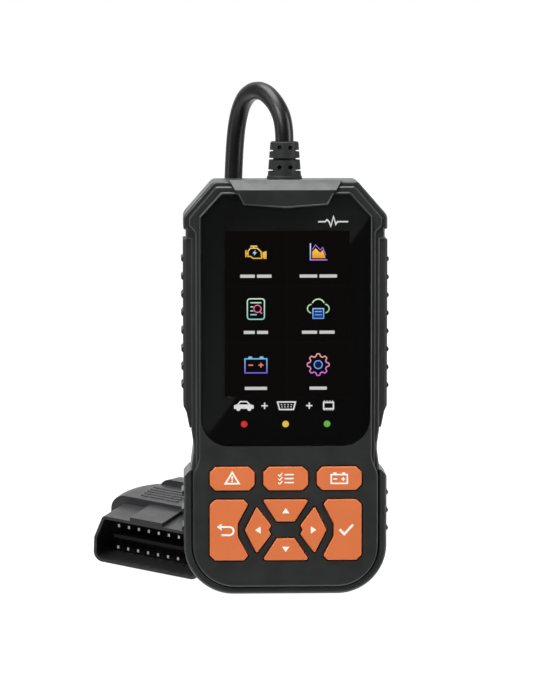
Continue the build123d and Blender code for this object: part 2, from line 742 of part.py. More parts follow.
def bend_radii(route):
    """The radius at each corner of a route: as large as its two runs allow."""
    radii = []
    for before, corner, after in zip(route, route[1:], route[2:]):
        run_in = Vector(*corner) - Vector(*before)
        run_out = Vector(*after) - Vector(*corner)
        turn = radians(run_in.get_angle(run_out))
        radii.append(0.45 * min(run_in.length, run_out.length) / tan(turn / 2))
    return radii


def cable_tube(name, route):
    """A stretch of cable along straight runs joined by arcs."""
    radii = bend_radii(route)
    with BuildPart() as tube:
        with BuildLine() as path:
            FilletPolyline(*route, radius=radii)
        with BuildSketch(Plane(origin=path.line @ 0, z_dir=path.line % 0)):
            Circle(CABLE_HALF)
        sweep(path=path.line)
    run = sum(edge.length for edge in path.edges())
    section = pi * CABLE_HALF**2
    print(name, "bend radii", [round(r, 1) for r in radii])
    print(name, "length", round(run, 1), "volume", round(tube.part.volume), "of", round(section * run))
    tube.part.label = name
    export_step(tube.part, f"parts/{name}.step")


cable_tube("cable_lead", LEAD_ROUTE)
cable_tube("cable_tail", TAIL_ROUTE)

# the tie goes round both turns of the coil, at its back
TIE_THICK, TIE_WIDE = 0.6, 5.0
COIL_LOW = TIE_THICK
COIL_IN, COIL_OUT = COIL_RADIUS - CABLE, COIL_RADIUS + CABLE
TIE_PLANE = Plane(origin=(COIL_X, COIL_Y + COIL_RADIUS, 0), x_dir=(0, 1, 0), z_dir=(1, 0, 0))
with BuildPart() as cable_tie:
    with BuildSketch(TIE_PLANE.offset(-TIE_WIDE / 2)):
        with Locations((0, COIL_LOW + CABLE_HALF)):
            RectangleRounded(2 * CABLE + 2 * TIE_THICK, CABLE + 2 * TIE_THICK, 3.2)
            RectangleRounded(2 * CABLE, CABLE, 2.6, mode=Mode.SUBTRACT)
    extrude(amount=TIE_WIDE)
    with BuildSketch(Plane.XY.offset(COIL_LOW + CABLE + TIE_THICK)):
        with Locations((COIL_X, COIL_Y + COIL_RADIUS)):
            Rectangle(TIE_WIDE + 1.4, 4.6)
    extrude(amount=2.4)

with BuildPart() as cable_coil:
    with BuildSketch(Plane(origin=(COIL_X, COIL_Y, 0), x_dir=(0, 1, 0), z_dir=(1, 0, 0))):
        with Locations((COIL_RADIUS, COIL_LOW + CABLE_HALF)):
            RectangleRounded(2 * CABLE, CABLE, 2.6)
    revolve(axis=Axis((COIL_X, COIL_Y, 0), (0, 0, 1)))

for piece_name, piece in {
    "front_housing": front_housing,
    "rear_housing": rear_housing,
    "top_cap": top_cap,
    "lower_bumper": lower_bumper,
    "display_lens": display_lens,
    "lcd_gasket": lcd_gasket,
    "lcd_panel": lcd_panel,
    "lcd_frame": lcd_frame,
    "main_pcb": main_pcb,
    "capacitors": capacitors,
    "buzzer": buzzer,
    "cable_header": cable_header,
    "header_plug": header_plug,
    "inner_leads": inner_leads,
    "keypad_membrane": keypad_membrane,
    "housing_screws": housing_screws,
    "pcb_screws": pcb_screws,
    "rating_plate": rating_plate,
    "strain_relief": strain_relief,
    "cable_coil": cable_coil,
    "cable_tie": cable_tie,
    "plug_shell": plug_shell,
    "plug_insert": plug_insert,
    "plug_pins": plug_pins,
    "plug_overmold": plug_overmold,
    "plug_strain_relief": plug_strain_relief,
}.items():
    piece.part.label = piece_name
    export_step(piece.part, f"parts/{piece_name}.step")
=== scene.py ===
"""The looks of a hand-held diagnostic code reader with its cable and plug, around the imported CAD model."""
import math
import bmesh
import bpy
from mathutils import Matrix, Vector


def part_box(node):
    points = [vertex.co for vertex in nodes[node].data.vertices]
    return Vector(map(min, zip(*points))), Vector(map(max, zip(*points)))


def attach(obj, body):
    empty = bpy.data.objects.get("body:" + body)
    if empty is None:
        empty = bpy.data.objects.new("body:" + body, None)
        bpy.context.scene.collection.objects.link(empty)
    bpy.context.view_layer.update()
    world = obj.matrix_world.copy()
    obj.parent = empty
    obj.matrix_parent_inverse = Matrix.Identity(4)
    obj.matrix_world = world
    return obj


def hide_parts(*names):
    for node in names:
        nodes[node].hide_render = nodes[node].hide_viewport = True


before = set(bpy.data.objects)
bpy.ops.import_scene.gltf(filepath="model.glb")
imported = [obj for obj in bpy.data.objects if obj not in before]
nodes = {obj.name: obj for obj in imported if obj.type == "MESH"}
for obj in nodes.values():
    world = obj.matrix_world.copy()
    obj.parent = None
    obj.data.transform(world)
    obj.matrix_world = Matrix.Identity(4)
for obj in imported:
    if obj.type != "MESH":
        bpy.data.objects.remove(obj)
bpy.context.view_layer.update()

MM = 0.001
CASE = "case"  # the body of everything but the keys


def link(thing):
    """Puts an object in the scene."""
    bpy.context.scene.collection.objects.link(thing)
    return thing


def middle(node):
    """The centre of a CAD node's box."""
    low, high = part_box(node)
    return (low + high) / 2


# ---------------------------------------------------------------- camera, floor and light
def make_camera():
    """A long lens, a little above and to the left of the case's front."""
    distance, azimuth, elevation = 1.2, math.radians(-2.0), math.radians(6.0)
    picture_height = 0.2448  # metres at the case
    target = Vector((-3.1, 0.0, 84.5)) * MM
    level = distance * math.cos(elevation)
    place = Vector((math.sin(azimuth) * level, -math.cos(azimuth) * level, distance * math.sin(elevation)))
    data = bpy.data.cameras.new("camera")
    data.sensor_fit = "VERTICAL"
    data.sensor_height = 24.0
    data.lens = data.sensor_height * distance / picture_height
    data.clip_start, data.clip_end = 0.01, 50.0
    camera = bpy.data.objects.new("camera", data)
    camera.location = target + place
    camera.rotation_euler = (-place).to_track_quat("-Z", "Y").to_euler()
    bpy.context.scene.camera = link(camera)


def make_floor():
    """A plain white floor, lit from within, so the object stands on white."""
    size = 12.0
    mesh = bpy.data.meshes.new("floor")
    corners = [(-size, -size, 0), (size, -size, 0), (size, size, 0), (-size, size, 0)]
    mesh.from_pydata(corners, [], [(0, 1, 2, 3)])
    floor = link(bpy.data.objects.new("floor", mesh))
    material = bpy.data.materials.new("floor_white")
    material.use_nodes = True
    tree = material.node_tree
    tree.nodes.clear()
    shine = tree.nodes.new("ShaderNodeEmission")
    shine.inputs["Strength"].default_value = 1.0
    diffuse = tree.nodes.new("ShaderNodeBsdfDiffuse")
    diffuse.inputs["Color"].default_value = (0.16, 0.16, 0.16, 1)
    total = tree.nodes.new("ShaderNodeAddShader")
    out = tree.nodes.new("ShaderNodeOutputMaterial")
    tree.links.new(shine.outputs[0], total.inputs[0])
    tree.links.new(diffuse.outputs[0], total.inputs[1])
    tree.links.new(total.outputs[0], out.inputs["Surface"])
    mesh.materials.append(material)
    floor.visible_glossy = False
    floor.visible_diffuse = False
    floor.visible_transmission = False


def make_world():
    """White to the camera; to the object a dim room with a bright wall behind and bright ground below."""
    bpy.context.scene.view_settings.view_transform = "Standard"
    world = bpy.data.worlds.new("studio")
    bpy.context.scene.world = world
    world.use_nodes = True
    tree = world.node_tree
    tree.nodes.clear()
    new, join = tree.nodes.new, tree.links.new
    where = new("ShaderNodeTexCoord")
    split = new("ShaderNodeSeparateXYZ")
    join(where.outputs["Generated"], split.inputs[0])

    def rise(axis, start, end, low, high):
        """A smooth step between two strengths along one direction."""
        step = new("ShaderNodeMapRange")
        step.interpolation_type = "SMOOTHSTEP"
        step.inputs["From Min"].default_value, step.inputs["From Max"].default_value = start, end
        step.inputs["To Min"].default_value, step.inputs["To Max"].default_value = low, high
        join(split.outputs[axis], step.inputs["Value"])
        return step.outputs[0]

    both = new("ShaderNodeMath")
    both.operation = "ADD"
    join(rise("Y", 0.1, 0.95, 0.07, 1.0), both.inputs[0])
    join(rise("Z", -0.25, -0.8, 0.0, 1.6), both.inputs[1])
    room = new("ShaderNodeBackground")
    join(both.outputs[0], room.inputs["Strength"])
    white = new("ShaderNodeBackground")
    for background in (room, white):
        background.inputs["Color"].default_value = (1, 1, 1, 1)
    path = new("ShaderNodeLightPath")
    mix = new("ShaderNodeMixShader")
    join(path.outputs["Is Camera Ray"], mix.inputs["Fac"])
    join(room.outputs[0], mix.inputs[1])
    join(white.outputs[0], mix.inputs[2])
    out = new("ShaderNodeOutputWorld")
    join(mix.outputs[0], out.inputs["Surface"])


def area_light(name, place, aim, width, height, power):
    """A soft box that shines at a point."""
    data = bpy.data.lights.new(name, "AREA")
    data.shape = "RECTANGLE"
    data.size, data.size_y = width, height
    data.energy = power
    lamp = bpy.data.objects.new(name, data)
    lamp.location = place
    lamp.rotation_euler = (Vector(aim) - Vector(place)).to_track_quat("-Z", "Y").to_euler()
    link(lamp)


def make_lights():
    """A key box at the upper left, side strips for the edges, and a box above."""
    aim = (0.0, 0.0, 0.08)
    area_light("key_light", (-0.7, -0.95, 0.9), aim, 0.6, 0.6, 14.5)
    area_light("left_strip", (-1.0, -0.15, 0.25), aim, 0.25, 1.2, 2.5)
    area_light("right_strip", (1.0, -0.35, 0.25), aim, 0.3, 1.2, 9.0)
    area_light("top_light", (-0.15, 0.0, 1.1), aim, 0.9, 0.7, 15.0)


# ---------------------------------------------------------------- materials
def linear(*rgb):
    """A shader colour from 0-255 screen values."""
    out = []
    for c in rgb:
        c = c / 255
        out.append(c / 12.92 if c <= 0.04045 else ((c + 0.055) / 1.055) ** 2.4)
    return (*out, 1.0)


def shade(colour, factor):
    """The colour, darker or lighter."""
    return tuple(min(1.0, c * factor) for c in colour[:3]) + (1.0,)


def new_material(name):
    """An empty node material, its tree and its Principled shader."""
    material = bpy.data.materials.new(name)
    material.use_nodes = True
    tree = material.node_tree
    shader = tree.nodes["Principled BSDF"]
    return material, tree, shader


def noise(tree, scale, detail=2.0, stretch=(1, 1, 1)):
    """Noise in the object's own coordinates, which are metres."""
    where = tree.nodes.new("ShaderNodeTexCoord")
    mapping = tree.nodes.new("ShaderNodeMapping")
    mapping.inputs["Scale"].default_value = stretch
    grain = tree.nodes.new("ShaderNodeTexNoise")
    grain.inputs["Scale"].default_value = scale
    grain.inputs["Detail"].default_value = detail
    tree.links.new(where.outputs["Object"], mapping.inputs["Vector"])
    tree.links.new(mapping.outputs["Vector"], grain.inputs["Vector"])
    return grain.outputs["Fac"]


def ramp(tree, value, low, high, start=0.35, end=0.65):
    """A colour between two, by a value."""
    node = tree.nodes.new("ShaderNodeValToRGB")
    node.color_ramp.elements[0].position, node.color_ramp.elements[0].color = start, low
    node.color_ramp.elements[1].position, node.color_ramp.elements[1].color = end, high
    tree.links.new(value, node.inputs["Fac"])
    return node.outputs["Color"]


def spread(tree, value, low, high):
    """A value moved into a range."""
    node = tree.nodes.new("ShaderNodeMapRange")
    node.inputs["From Min"].default_value, node.inputs["From Max"].default_value = 0.3, 0.7
    node.inputs["To Min"].default_value, node.inputs["To Max"].default_value = low, high
    tree.links.new(value, node.inputs["Value"])
    return node.outputs["Result"]


def moulded(name, colour, rough, grain=0.22 * MM, depth=0.012 * MM, mottle=0.10, sheen=0.0, specular=0.5):
    """Moulded plastic or rubber: a fine etched grain, faint mottling and uneven gloss."""
    material, tree, shader = new_material(name)
    patches = noise(tree, 90.0, 3.0)
    tint = ramp(tree, patches, shade(colour, 1 - mottle), shade(colour, 1 + mottle))
    tree.links.new(tint, shader.inputs["Base Color"])
    gloss = spread(tree, noise(tree, 260.0), rough - 0.05, rough + 0.05)
    tree.links.new(gloss, shader.inputs["Roughness"])
    bump = tree.nodes.new("ShaderNodeBump")
    bump.inputs["Distance"].default_value = depth
    bump.inputs["Strength"].default_value = 0.6
    tree.links.new(noise(tree, 0.5 / grain, 1.0), bump.inputs["Height"])
    tree.links.new(bump.outputs["Normal"], shader.inputs["Normal"])
    shader.inputs["Specular IOR Level"].default_value = specular
    if sheen:
        shader.inputs["Sheen Weight"].default_value = sheen
    return material


def metal(name, colour, rough):
    """Plated or plain metal with fine drawing marks."""
    material, tree, shader = new_material(name)
    shader.inputs["Metallic"].default_value = 1.0
    tint = noise(tree, 400.0)
    tree.links.new(ramp(tree, tint, shade(colour, 0.9), colour), shader.inputs["Base Color"])
    marks = noise(tree, 3000.0, 2.0, (1, 1, 0.1))
    tree.links.new(spread(tree, marks, rough - 0.06, rough + 0.06), shader.inputs["Roughness"])
    return material


def clear_glass(name):
    """The display's cover: clear and polished."""
    material, _, shader = new_material(name)
    shader.inputs["Base Color"].default_value = (0.9, 0.9, 0.9, 1)
    shader.inputs["Transmission Weight"].default_value = 1.0
    shader.inputs["IOR"].default_value = 1.46
    shader.inputs["Roughness"].default_value = 0.0
    return material


def black_print_with_painted_sheen():
    """The cover's black print with a painted sheen: two tones that meet on a slanting line, plain black
    below it and above it a lighter painted reflection that fades away from the line.
    """
    material, tree, shader = new_material("mask_print_with_painted_sheen")
    line_point = Vector((29.2, 0.0, 131.9)) * MM  # where the painted sheen's slanting edge meets the cover's edge
    upward = Vector((-0.804, 0.0, 0.595))  # square to the line
    before, beyond = 10 * MM, 40 * MM
    edge = before / (before + beyond)
    edge_half = 0.01
    # Painted reflection: the tone below the slanting line is the plain black print; the lighter tone above
    # it, fading to a middle grey further up, is a painted sheen in place of a reflection in the cover.
    below, above, painted_sheen_far = linear(9, 8, 8), linear(38, 40, 39), linear(23, 24, 24)
    where = tree.nodes.new("ShaderNodeTexCoord")
    distance = tree.nodes.new("ShaderNodeVectorMath")
    distance.operation = "DOT_PRODUCT"
    distance.inputs[1].default_value = upward
    share = tree.nodes.new("ShaderNodeMapRange")
    offset = line_point.dot(upward)
    share.inputs["From Min"].default_value = offset - before
    share.inputs["From Max"].default_value = offset + beyond
    tree.links.new(where.outputs["Object"], distance.inputs[0])
    tree.links.new(distance.outputs["Value"], share.inputs["Value"])
    tones = tree.nodes.new("ShaderNodeValToRGB")
    first, last = tones.color_ramp.elements
    first.position, first.color = edge - edge_half, below
    last.position, last.color = 1.0, painted_sheen_far
    tones.color_ramp.elements.new(edge + edge_half).color = above
    tree.links.new(share.outputs["Result"], tones.inputs["Fac"])
    tree.links.new(tones.outputs["Color"], shader.inputs["Base Color"])
    shader.inputs["Roughness"].default_value = 0.6
    shader.inputs["Specular IOR Level"].default_value = 0.0
    return material


def glow(name, colour, strength=1.0):
    """Lit pixels, a lamp, or a painted glow on a print, in one colour."""
    material, _, shader = new_material(name)
    shader.inputs["Emission Color"].default_value = colour
    shader.inputs["Emission Strength"].default_value = strength
    shader.inputs["Base Color"].default_value = (0, 0, 0, 1)
    shader.inputs["Roughness"].default_value = 0.6
    shader.inputs["Specular IOR Level"].default_value = 0.0
    return material


def blended_glow(name, low, high, bottom, top):
    """Lit pixels: one colour at the bottom height, another at the top, in metres."""
    material = glow(name, low)
    tree = material.node_tree
    where = tree.nodes.new("ShaderNodeTexCoord")
    split = tree.nodes.new("ShaderNodeSeparateXYZ")
    tree.links.new(where.outputs["Object"], split.inputs[0])
    share = tree.nodes.new("ShaderNodeMapRange")
    share.inputs["From Min"].default_value, share.inputs["From Max"].default_value = bottom, top
    tree.links.new(split.outputs["Z"], share.inputs["Value"])
    colour = ramp(tree, share.outputs["Result"], low, high, 0.0, 1.0)
    tree.links.new(colour, tree.nodes["Principled BSDF"].inputs["Emission Color"])
    return material


# ---------------------------------------------------------------- flat shapes on the front
class Print:
    """Flat shapes printed on a plane that faces the front, collected into one thin closed mesh.

    Points are (across, up) from an origin in metres; a unit is a millimetre times the scale."""

    def __init__(self, origin, scale=1.0):
        self.origin = Vector(origin)
        self.scale = scale * MM
        self.shapes = []

    def fill(self, points):
        """A filled convex or simple outline."""
        self.shapes.append(points)
        return self

    def box(self, x0, z0, x1, z1):
        """A filled rectangle."""
        return self.fill([(x0, z0), (x1, z0), (x1, z1), (x0, z1)])

    def disc(self, x, z, radius, steps=28):
        """A filled circle."""
        angles = [2 * math.pi * i / steps for i in range(steps)]
        return self.fill([(x + radius * math.cos(a), z + radius * math.sin(a)) for a in angles])

    def stroke(self, points, width, closed=False):
        """A line of even width through the points; very sharp corners are cut short."""
        count = len(points)
        sides = []
        for i, (x, z) in enumerate(points):
            before = points[i - 1] if closed or i > 0 else None
            after = points[(i + 1) % count] if closed or i < count - 1 else None
            ways = []
            if before:
                ways.append((Vector((x, z)) - Vector(before)).normalized())
            if after:
                ways.append((Vector(after) - Vector((x, z))).normalized())
            along = sum(ways, Vector((0, 0))).normalized()
            normal = Vector((-along.y, along.x))
            edge = Vector((-ways[0].y, ways[0].x))
            reach = width / 2 / max(0.45, normal.dot(edge))
            across, up = normal * reach
            sides.append(((x + across, z + up), (x - across, z - up)))
        last = count if closed else count - 1
        for i in range(last):
            (a, b), (c, d) = sides[i], sides[(i + 1) % count]
            self.shapes.append([a, b, d, c])
        return self

    def arc(self, x, z, radius, start, end, width, steps=18):
        """A curved stroke from one angle to another, in degrees."""
        angles = [math.radians(start + (end - start) * i / steps) for i in range(steps + 1)]
        points = [(x + radius * math.cos(a), z + radius * math.sin(a)) for a in angles]
        closed = abs(end - start) >= 360
        return self.stroke(points[:-1] if closed else points, width, closed)

    def make(self, name, material, body, thick=0.05 * MM):
        """The mesh: each shape a thin plate that stands forward of the origin's plane.

        Neighbouring plates differ a little in thickness, so that none share a front face."""
        mesh = bpy.data.meshes.new(name)
        work = bmesh.new()
        for layer, shape in enumerate(self.shapes):
            area = sum(a[0] * b[1] - b[0] * a[1] for a, b in zip(shape, shape[1:] + shape[:1]))
            ordered = shape if area > 0 else shape[::-1]
            front, back = [], []
            for row, forward in ((front, thick * (1 + 0.01 * (layer % 7))), (back, 0.0)):
                for x, z in ordered:
                    place = self.origin + Vector((x * self.scale, -forward, z * self.scale))
                    row.append(work.verts.new(place))
            work.faces.new(front)
            work.faces.new(back[::-1])
            for i in range(len(front)):
                j = (i + 1) % len(front)
                work.faces.new((front[j], front[i], back[i], back[j]))
        bmesh.ops.recalc_face_normals(work, faces=work.faces)
        work.to_mesh(mesh)
        work.free()
        piece = link(bpy.data.objects.new(name, mesh))
        mesh.materials.append(material)
        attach(piece, body)
        return piece


# ---------------------------------------------------------------- cable
CABLE = 6.4 * MM
COIL_CENTRE = Vector((-5.0, 97.5, 3.8))  # this and the routes are in millimetres
LEAD_ROUTE = [
    (0.0, 0.0, 157.4),
    (0.0, 0.0, 163.9),
    (-2.9, 3.6, 170.9),
    (-7.8, 10.4, 175.4),
    (-13.0, 17.2, 173.2),
    (-15.9, 21.8, 164.8),
    (-17.1, 24.3, 149.5),
    (-17.8, 25.0, 119.0),
    (-17.0, 24.8, 88.0),
    (-15.4, 24.4, 60.0),
    (-12.4, 25.0, 36.0),
    (-6.5, 28.5, 16.0),
    (3.0, 38.0, 6.0),
    (13.0, 52.0, 3.8),
    (22.5, 70.0, 3.7),
]
TAIL_ROUTE = [
    (17.2, 115.0, 8.8),
    (6.0, 120.0, 14.2),
    (-5.2, 113.6, 19.6),
    (-11.6, 102.6, 22.8),
    (-16.2, 90.5, 22.1),
    (-21.4, 79.9, 20.4),
]


def coil_turns():
    """Two turns side by side on the floor, the second inside the first."""
    outer, inner, step = 33.2, 26.8, 24.0
    first, last = -18.0, 720.0
    shift_from, shift_over = 285.0, 50.0
    points = []
    angle = first
    while angle <= last:
        share = min(1.0, max(0.0, (angle - shift_from) / shift_over))
        radius = (outer + (inner - outer) * share) / math.cos(math.radians(step / 2))
        turn = math.radians(angle)
        points.append(COIL_CENTRE + Vector((radius * math.cos(turn), radius * math.sin(turn), 0.0)))
        angle += step
    return points


def make_cable():
    """The whole cable: out of the strain relief, down behind the case, coiled, and to the plug."""
    route = [Vector(p) for p in LEAD_ROUTE] + coil_turns() + [Vector(p) for p in TAIL_ROUTE]
    curve = bpy.data.curves.new("cable", "CURVE")
    curve.dimensions = "3D"
    curve.bevel_depth = CABLE / 2
    curve.bevel_resolution = 6
    curve.resolution_u = 10
    curve.use_fill_caps = True
    spline = curve.splines.new("NURBS")
    spline.points.add(len(route) - 1)
    for point, place in zip(spline.points, route):
        point.co = (*(place * MM), 1.0)
    spline.order_u = 3
    spline.use_endpoint_u = True
    cable = link(bpy.data.objects.new("cable", curve))
    jacket = moulded("cable_jacket", linear(14, 14, 15), 0.36, 0.5 * MM, 0.004 * MM, 0.06, specular=0.45)
    curve.materials.append(jacket)
    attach(cable, CASE)
    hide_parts("cable_lead", "cable_coil", "cable_tail")


# ---------------------------------------------------------------- materials of the CAD nodes
def paint(node, material):
    """Gives a CAD node its material."""
    mesh = nodes[node].data
    mesh.materials.clear()
    mesh.materials.append(material)


def paint_nodes():
    """One material for each kind of piece."""
    housing = moulded("housing_plastic", linear(38, 40, 39), 0.4)
    grip = moulded("grip_rubber", linear(21, 23, 22), 0.6, 0.3 * MM, 0.02 * MM, 0.12, 0.05)
    cap = moulded("cap_plastic", linear(38, 40, 40), 0.34, 0.25 * MM, 0.006 * MM)
    key = moulded("key_plastic", linear(222, 118, 66), 0.42, 0.2 * MM, 0.006 * MM, 0.02)
    relief = moulded("relief_rubber", linear(29, 31, 30), 0.62, 0.3 * MM, 0.015 * MM, specular=0.35)
    plug = moulded("plug_plastic", linear(46, 46, 47), 0.36, 0.25 * MM, 0.006 * MM)
    overmold = moulded("overmold_plastic", linear(50, 50, 52), 0.4, 0.25 * MM, 0.01 * MM)
    black = moulded("chip_plastic", linear(30, 30, 31), 0.5)
    chips = ["processor_chip", "memory_chip", "transceiver_chips"]
    paints = {
        housing: ["front_housing", "rear_housing"],
        grip: ["left_grip", "right_grip"],
        moulded("bumper_rubber", linear(46, 48, 47), 0.36, 0.3 * MM, 0.01 * MM): ["lower_bumper"],
        cap: ["top_cap"],
        key: [n for n in nodes if n.endswith("_button")],
        relief: ["strain_relief", "plug_strain_relief"],
        plug: ["plug_shell"],
        moulded("insert_plastic", linear(14, 14, 15), 0.5, mottle=0.04, specular=0.2): ["plug_insert"],
        overmold: ["plug_overmold"],
        black: [*chips, "power_inductor", "buzzer", "lcd_gasket"],
        clear_glass("lens_glass"): ["display_lens"],
        moulded("lcd_glass", linear(9, 5, 5), 0.5, mottle=0.02, specular=0.0): ["lcd_panel"],
        moulded("frame_plastic", linear(215, 215, 208), 0.5): ["lcd_frame"],
        moulded("board", linear(18, 84, 48), 0.35): ["main_pcb"],
        metal("steel_can", linear(190, 190, 192), 0.3): ["crystal", "capacitors"],
        metal("screw_steel", linear(120, 120, 124), 0.35): ["housing_screws", "pcb_screws"],
        metal("pin_metal", linear(235, 232, 225), 0.2): ["plug_pins"],
        moulded("nylon", linear(225, 220, 205), 0.45): ["cable_header", "header_plug"],
        moulded("lead_insulation", linear(170, 40, 36), 0.4): ["inner_leads"],
        moulded("silicone", linear(70, 70, 72), 0.6): ["keypad_membrane"],
        moulded("plate_film", linear(70, 72, 73), 0.3, mottle=0.03): ["rating_plate"],
        moulded("tie_nylon", linear(28, 28, 29), 0.4): ["cable_tie"],
    }
    for material, names in paints.items():
        for name in names:
            paint(name, material)
    lamps = {"red_led": (228, 52, 52), "yellow_led": (244, 206, 80), "green_led": (112, 192, 78)}
    for name, colour in lamps.items():
        paint(name, glow(name, linear(*colour), 0.95))


# ---------------------------------------------------------------- display
MASK_Y = -11.41 * MM  # the back of the cover's black print, and of the picture in its window
LINE_FORWARD, ICON_FORWARD = 0.03 * MM, 0.05 * MM  # lines and pictograms, from the picture's ground
INK_FORWARD = 0.045 * MM  # white print, from the back of the black print
WINDOW = (-21.1, 69.5, 22.1, 127.1)  # left, bottom, right and top of the picture, in mm
COLUMNS = (-10.3, 11.3)
ICON_ROWS = (119.6, 100.0, 80.6)
LABEL_ROWS = (111.4, 91.9, 72.4)
LAMPS = ("red_led", "yellow_led", "green_led")


def cover_outline():
    """A flat mesh of the back of the display's cover, a little smaller, at the mask's place."""
    shrink = 0.996
    work = bmesh.new()
    work.from_mesh(nodes["display_lens"].data)
    back = max(v.co.y for v in work.verts)
    flat = {f for f in work.faces if all(abs(v.co.y - back) < 0.01 * MM for v in f.verts)}
    bmesh.ops.delete(work, geom=[f for f in work.faces if f not in flat], context="FACES")
    centre = middle("display_lens")
    for v in work.verts:
        x, z = centre.x + (v.co.x - centre.x) * shrink, centre.z + (v.co.z - centre.z) * shrink
        v.co = Vector((x, MASK_Y, z))
    return work


def cut_window(work, x0, z0, x1, z1):
    """Cuts the mesh along a rectangle's four sides."""
    across, up = (1, 0, 0), (0, 0, 1)
    for place, normal in (((x0, 0, 0), across), ((x1, 0, 0), across), ((0, 0, z0), up), ((0, 0, z1), up)):
        everything = list(work.verts) + list(work.edges) + list(work.faces)
        bmesh.ops.bisect_plane(work, geom=everything, plane_co=place, plane_no=normal, dist=0.1e-6)


def fill_round(work, centre, half, radius, steps=32):
    """Fills a square hole up to a round one."""
    ring, rim = [], []
    for i in range(steps):
        a = 2 * math.pi * (i + 0.5) / steps
        way = Vector((math.cos(a), 0.0, math.sin(a)))
        reach = half / max(abs(way.x), abs(way.z))
        ring.append(work.verts.new((centre.x + radius * way.x, MASK_Y, centre.z + radius * way.z)))
        rim.append(work.verts.new((centre.x + reach * way.x, MASK_Y, centre.z + reach * way.z)))
    for i in range(steps):
        j = (i + 1) % steps
        work.faces.new((ring[i], ring[j], rim[j], rim[i]))


def make_mask():
    """The black print round the picture: the cover's own outline, with a window and three lamp holes."""
    lamp_half, lamp_radius, thick = 1.3 * MM, 1.15 * MM, 0.04 * MM
    work = cover_outline()
    holes = [tuple(v * MM for v in WINDOW)]
    for lamp in LAMPS:
        c = middle(lamp)
        holes.append((c.x - lamp_half, c.z - lamp_half, c.x + lamp_half, c.z + lamp_half))
    for hole in holes:
        cut_window(work, *hole)
    inside = []
    for face in work.faces:
        c = face.calc_center_median()
        if any(x0 < c.x < x1 and z0 < c.z < z1 for x0, z0, x1, z1 in holes):
            inside.append(face)
    bmesh.ops.delete(work, geom=inside, context="FACES")
    for lamp in LAMPS:
        fill_round(work, middle(lamp), lamp_half, lamp_radius)
    for face in work.faces:
        face.normal_update()
        if face.normal.y > 0:
            face.normal_flip()
    bmesh.ops.solidify(work, geom=work.faces[:], thickness=-thick)
    mesh = bpy.data.meshes.new("display_mask")
    work.to_mesh(mesh)
    work.free()
    mask = link(bpy.data.objects.new("display_mask", mesh))
    # the black print's material carries a painted sheen, a lighter slanting band in place of a reflection
    mesh.materials.append(black_print_with_painted_sheen())
    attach(mask, CASE)


def panel_print(x=0.0, z=0.0):
    """A print on the display panel, about a point in millimetres."""
    return Print((x * MM, MASK_Y, z * MM))


def lit(shape, name, low, high=None, thick=0.03 * MM):
    """Lit pixels in one colour, or from one at the bottom to another at the top."""
    if high:
        heights = [shape.origin.z + z * shape.scale for points in shape.shapes for _, z in points]
        material = blended_glow(name, linear(*low), linear(*high), min(heights), max(heights))
    else:
        material = glow(name, linear(*low))
    shape.make(name, material, CASE, thick)


def make_screen():
    """The menu: six cells, each with a pictogram and a plain bar where a word would be."""
    left, bottom, right, top = WINDOW
    spare = 0.3  # the ground runs on under the black print
    ground = panel_print().box(left - spare, bottom - spare, right + spare, top + spare)
    lit(ground, "screen_ground", (6, 3, 3), thick=0.02 * MM)
    lines = panel_print()
    lines.origin.y -= LINE_FORWARD
    lines.box(0.4, bottom, 0.6, top)
    for z in (107.9, 88.4):
        lines.box(left, z - 0.1, right, z + 0.1)
    lit(lines, "screen_lines", (18, 13, 12))
    labels = panel_print()
    labels.origin.y -= LINE_FORWARD
    widths = ((10.8, 12.9), (8.4, 11.3), (7.7, 6.0))
    gap, two_words_from = 0.8, 8.0
    for z, pair in zip(LABEL_ROWS, widths):
        for x, width in zip(COLUMNS, pair):
            words = 2 if width > two_words_from else 1
            each = (width - gap * (words - 1)) / words
            for n in range(words):
                start = x - width / 2 + n * (each + gap)
                labels.box(start, z - 0.55, start + each, z + 0.55)
    lit(labels, "screen_labels", (205, 205, 205))


def icon_at(column, row):
    """An empty print at a cell's pictogram."""
    shape = panel_print(COLUMNS[column], ICON_ROWS[row])
    shape.origin.y -= ICON_FORWARD
    return shape


def make_engine_icon():
    """An engine block in outline with a bolt."""
    body = icon_at(0, 0)
    upper = [(-2.7, 0.5), (-1.8, 1.5), (0.5, 1.5), (1.8, 0.3)]
    lower = [(2.0, -2.0), (-0.95, -2.0), (-1.8, -1.35), (-2.7, -1.35)]
    body.stroke(upper + lower, 0.42, closed=True)
    body.box(-3.65, -1.6, -3.2, 0.8).box(-3.3, -0.6, -2.6, -0.2)
    body.box(-1.9, 2.0, 0.5, 2.4).box(-0.95, 1.5, -0.5, 2.2)
    body.fill([(2.3, -1.7), (2.8, -2.2), (3.7, -2.2), (3.7, 0.5), (2.3, 0.1)])
    lit(body, "icon_engine", (236, 178, 52), (250, 214, 120))
    bolt = icon_at(0, 0)
    bolt.fill([(-0.1, 0.9), (-1.2, -0.3), (-0.4, -0.3)]).fill([(-0.7, -1.1), (0.4, 0.1), (-0.4, 0.1)])
    lit(bolt, "icon_engine_bolt", (190, 214, 250))


